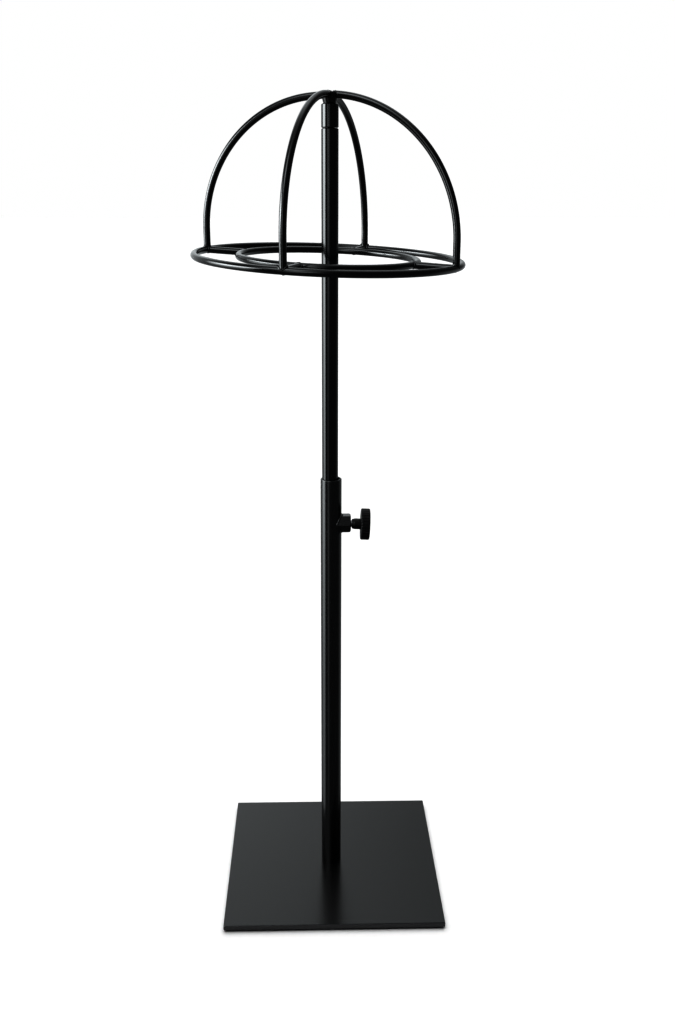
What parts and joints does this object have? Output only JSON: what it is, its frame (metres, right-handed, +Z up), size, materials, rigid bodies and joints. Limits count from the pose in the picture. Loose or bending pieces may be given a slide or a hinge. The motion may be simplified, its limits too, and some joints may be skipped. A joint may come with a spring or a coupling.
{
  "type": "helmet stand",
  "caption": "Height-adjustable helmet stand: a domed wire cage on a telescopic pole with a clamp knob, above a thin square base plate.",
  "frame": {"origin": "on the table, on the axis of the lower tube", "axes": "+Z up along the pole, +X towards the clamp knob, +Y to the back"},
  "size_m": [0.1955, 0.1954, 0.6149],
  "materials": {
    "powder_coat": "satin black powder coat",
    "gloss_coat": "semi-gloss black coat",
    "wire_coat": "semi-gloss black coat on welded wire",
    "zinc_steel": "plain zinc-plated steel",
    "knob_plastic": "matte black moulding",
    "pad_rubber": "matte rubber"
  },
  "bodies": {
    "base": {"base_plate": "powder_coat", "foot_front_left": "pad_rubber", "foot_front_right": "pad_rubber", "foot_back_left": "pad_rubber", "foot_back_right": "pad_rubber", "base_screw": "zinc_steel", "foot_plug": "zinc_steel", "lower_tube": "gloss_coat", "clamp_nut": "gloss_coat"},
    "clamp": {"clamp_screw": "zinc_steel"},
    "knob": {"clamp_knob": "knob_plastic"},
    "pole": {"upper_tube": "gloss_coat", "pole_insert": "zinc_steel", "collar_stud": "zinc_steel"},
    "cage": {"cage_collar": "gloss_coat", "crown_weld": "wire_coat", "outer_ring": "wire_coat", "inner_ring": "wire_coat", "rib_right": "wire_coat", "rib_back_right": "wire_coat", "rib_left": "wire_coat", "rib_front_left": "wire_coat", "spoke_right": "wire_coat", "spoke_back_right": "wire_coat", "spoke_left": "wire_coat", "spoke_front_left": "wire_coat"}
  },
  "joints": [
    {"name": "height_slide", "type": "slide", "parent": "base", "child": "pole", "axis": [0, 0, 1], "range_m": [-0.24, 0.02]},
    {"name": "cage_swivel", "type": "hinge", "parent": "pole", "child": "cage", "pos_m": [-0.00075, 0, 0.5906], "axis": [0, 0, 1], "continuous": true},
    {"name": "clamp_travel", "type": "slide", "parent": "base", "child": "clamp", "axis": [0.9991, 0, -0.0419], "range_m": [0, 0.003]},
    {"name": "knob_turn", "type": "hinge", "parent": "clamp", "child": "knob", "pos_m": [0.02288, 0, 0.30344], "axis": [0.9991, 0, -0.0419], "range_deg": [0, 1080]}
  ],
  "couplings": [
    {"joint": "knob_turn", "follows": "clamp_travel", "rad_per_m": 6283.2}
  ]
}
